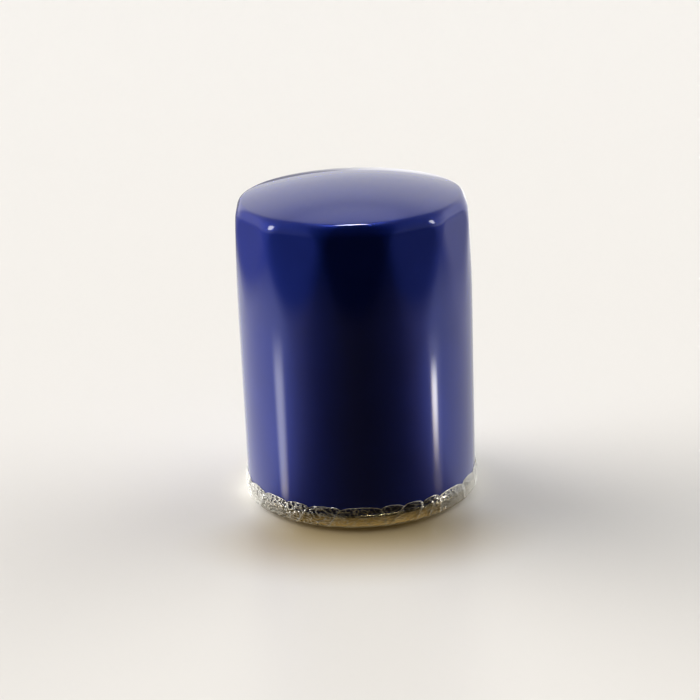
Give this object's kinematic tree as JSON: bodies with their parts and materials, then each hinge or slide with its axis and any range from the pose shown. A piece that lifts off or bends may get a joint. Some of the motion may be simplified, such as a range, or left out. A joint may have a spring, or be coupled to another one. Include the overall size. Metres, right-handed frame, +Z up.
{
  "type": "spin-on oil filter",
  "caption": "Round domed steel can with wrench flutes, seamed to a threaded base plate, with a pleated element, valves and springs inside and a clear shrink film over its base.",
  "frame": {"origin": "where the filter's axis meets the surface it stands on, at the underside of its film", "axes": "+Z up along the axis to the dome; the middle of one wrench flute faces -Y"},
  "size_m": [0.0818, 0.0818, 0.1104],
  "materials": {
    "can_paint": "gloss enamel",
    "lid_steel": "bright plated sheet",
    "compound": "matt",
    "plate_steel": "zinc plated, machined thread",
    "gasket_rubber": "satin",
    "valve_rubber": "satin",
    "cap_steel": "bright plated sheet",
    "plastisol": "matt",
    "filter_paper": "fibrous, resin cured",
    "tube_steel": "perforated plated sheet",
    "seal_rubber": "satin",
    "spring_steel": "drawn wire",
    "film": "clear, crinkled"
  },
  "bodies": {
    "filter": {"can": "can_paint", "seaming_lid": "lid_steel", "seam_compound": "compound", "base_plate": "plate_steel", "sealing_gasket": "gasket_rubber", "lower_end_cap": "cap_steel", "upper_end_cap": "cap_steel", "lower_potting": "plastisol", "upper_potting": "plastisol", "pleated_media": "filter_paper", "media_seam_clip": "cap_steel", "center_tube": "tube_steel", "bypass_seat": "tube_steel", "bypass_cage": "tube_steel", "bypass_spring": "spring_steel", "element_spring": "spring_steel"},
    "bypass_valve": {"bypass_poppet": "tube_steel", "bypass_seal": "seal_rubber"},
    "drain_valve": {"anti_drainback_valve": "valve_rubber"},
    "film": {"shrink_film": "film"}
  },
  "joints": [
    {"name": "bypass_lift", "type": "slide", "parent": "filter", "child": "bypass_valve", "axis": [0, 0, -1], "range_m": [0, 0.003], "stiffness_N_per_m": 2500, "springref_m": -0.008, "deforming": ["bypass_spring"]},
    {"name": "drain_valve_lift", "type": "slide", "parent": "filter", "child": "drain_valve", "axis": [0, 0, 1], "range_m": [0, 0.0015], "stiffness_N_per_m": 400, "springref_m": -0.001, "deforming": ["anti_drainback_valve"]},
    {"name": "film_pull_off", "type": "slide", "parent": "filter", "child": "film", "axis": [0, 0, -1], "range_m": [0, 0.03]}
  ]
}
